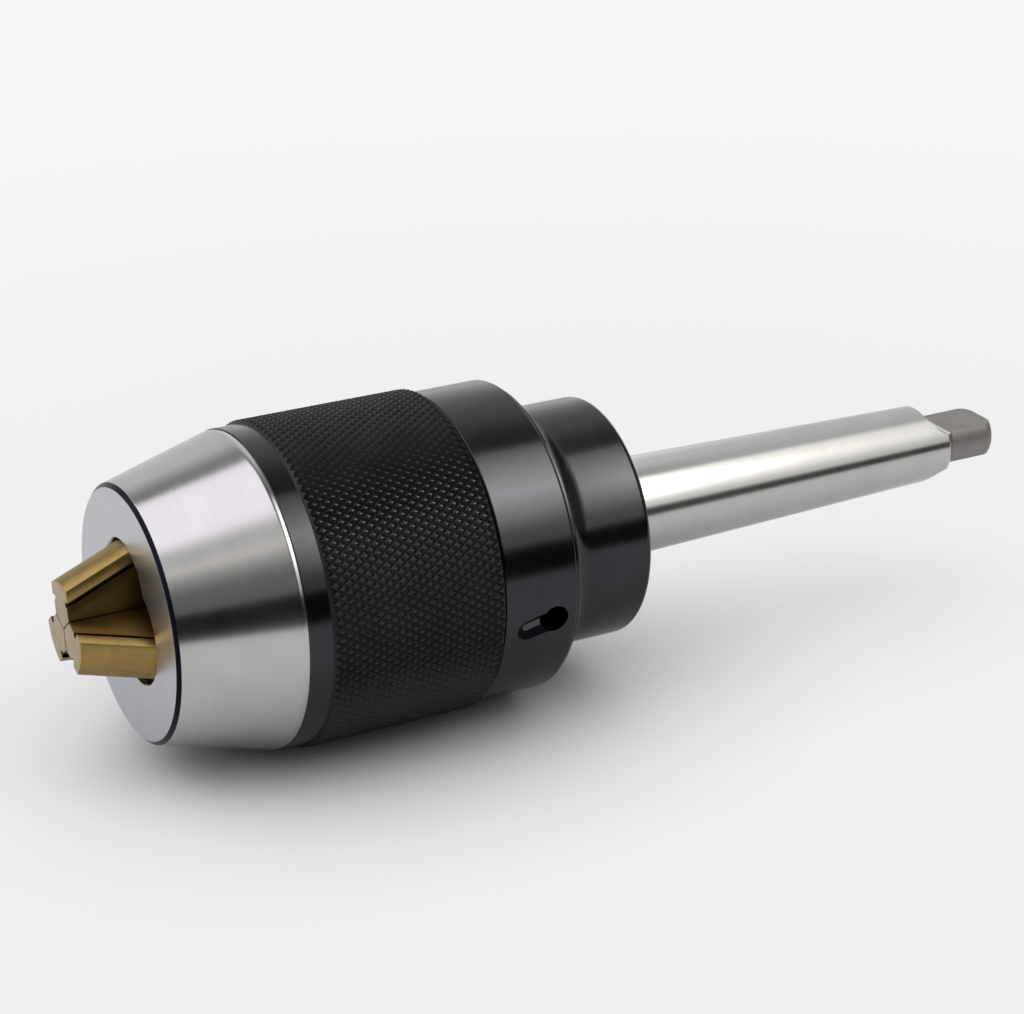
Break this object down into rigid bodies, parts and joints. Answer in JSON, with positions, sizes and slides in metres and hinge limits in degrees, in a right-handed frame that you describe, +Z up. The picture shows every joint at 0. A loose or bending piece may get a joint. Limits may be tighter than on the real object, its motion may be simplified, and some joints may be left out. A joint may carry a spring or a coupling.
{
  "type": "keyless drill chuck",
  "caption": "Keyless drill chuck: a knurled sleeve turns on a ball bearing and a left-hand screw moves coated jaws along sloping slots; Morse taper shank with tang.",
  "frame": {"origin": "on the chuck's axis, in the gauge plane of the Morse taper", "axes": "+X along the chuck's axis from the nose to the tang, +Z up as the chuck lies in the picture, normal to the tang's flats"},
  "size_m": [0.1871, 0.0574, 0.0574],
  "materials": {
    "ground_steel": "fine ground steel, bright",
    "black_oxide": "satin black oxide on turned steel",
    "gold_coating": "ground steel with a gold titanium nitride coating",
    "dark_steel": "hardened steel, oiled",
    "bearing_steel": "polished bearing steel",
    "cage_brass": "machined brass",
    "seal_rubber": "matt black rubber"
  },
  "bodies": {
    "arbor": {"arbor": "ground_steel", "rear_collar": "black_oxide", "thread_core": "dark_steel", "inner_race": "bearing_steel"},
    "ball_cage": {"ball_cage": "cage_brass", "ball_01": "bearing_steel", "ball_02": "bearing_steel", "ball_03": "bearing_steel", "ball_04": "bearing_steel", "ball_05": "bearing_steel", "ball_06": "bearing_steel", "ball_07": "bearing_steel", "ball_08": "bearing_steel", "ball_09": "bearing_steel", "ball_10": "bearing_steel", "ball_11": "bearing_steel", "ball_12": "bearing_steel", "ball_13": "bearing_steel", "ball_14": "bearing_steel", "ball_15": "bearing_steel", "ball_16": "bearing_steel"},
    "sleeve": {"knurled_sleeve": "black_oxide", "nose_hood": "ground_steel", "rear_ring": "black_oxide", "dust_seal": "seal_rubber", "outer_race": "bearing_steel"},
    "jaw_guide": {"jaw_guide": "dark_steel", "feed_screw": "bearing_steel"},
    "jaw_1": {"jaw_1": "gold_coating"},
    "jaw_2": {"jaw_2": "gold_coating"},
    "jaw_3": {"jaw_3": "gold_coating"}
  },
  "joints": [
    {"name": "sleeve_turn", "type": "hinge", "parent": "arbor", "child": "sleeve", "pos_m": [0, 0, 0], "axis": [-1, 0, 0], "range_deg": [0, 1827]},
    {"name": "cage_turn", "type": "hinge", "parent": "arbor", "child": "ball_cage", "pos_m": [0, 0, 0], "axis": [-1, 0, 0], "range_deg": [0, 914]},
    {"name": "guide_slide", "type": "slide", "parent": "sleeve", "child": "jaw_guide", "axis": [1, 0, 0], "range_m": [0, 0.02031]},
    {"name": "jaw_1_slide", "type": "slide", "parent": "sleeve", "child": "jaw_1", "axis": [0.9304, 0.0573, 0.362], "range_m": [0, 0.02183]},
    {"name": "jaw_2_slide", "type": "slide", "parent": "sleeve", "child": "jaw_2", "axis": [0.9304, -0.3422, -0.1313], "range_m": [0, 0.02183]},
    {"name": "jaw_3_slide", "type": "slide", "parent": "sleeve", "child": "jaw_3", "axis": [0.9304, 0.2848, -0.2306], "range_m": [0, 0.02183]}
  ],
  "couplings": [
    {"joint": "cage_turn", "follows": "sleeve_turn", "ratio": 0.5},
    {"joint": "guide_slide", "follows": "sleeve_turn", "m_per_rad": 0.00063662},
    {"joint": "jaw_1_slide", "follows": "sleeve_turn", "m_per_rad": 0.00068423},
    {"joint": "jaw_2_slide", "follows": "sleeve_turn", "m_per_rad": 0.00068423},
    {"joint": "jaw_3_slide", "follows": "sleeve_turn", "m_per_rad": 0.00068423}
  ]
}
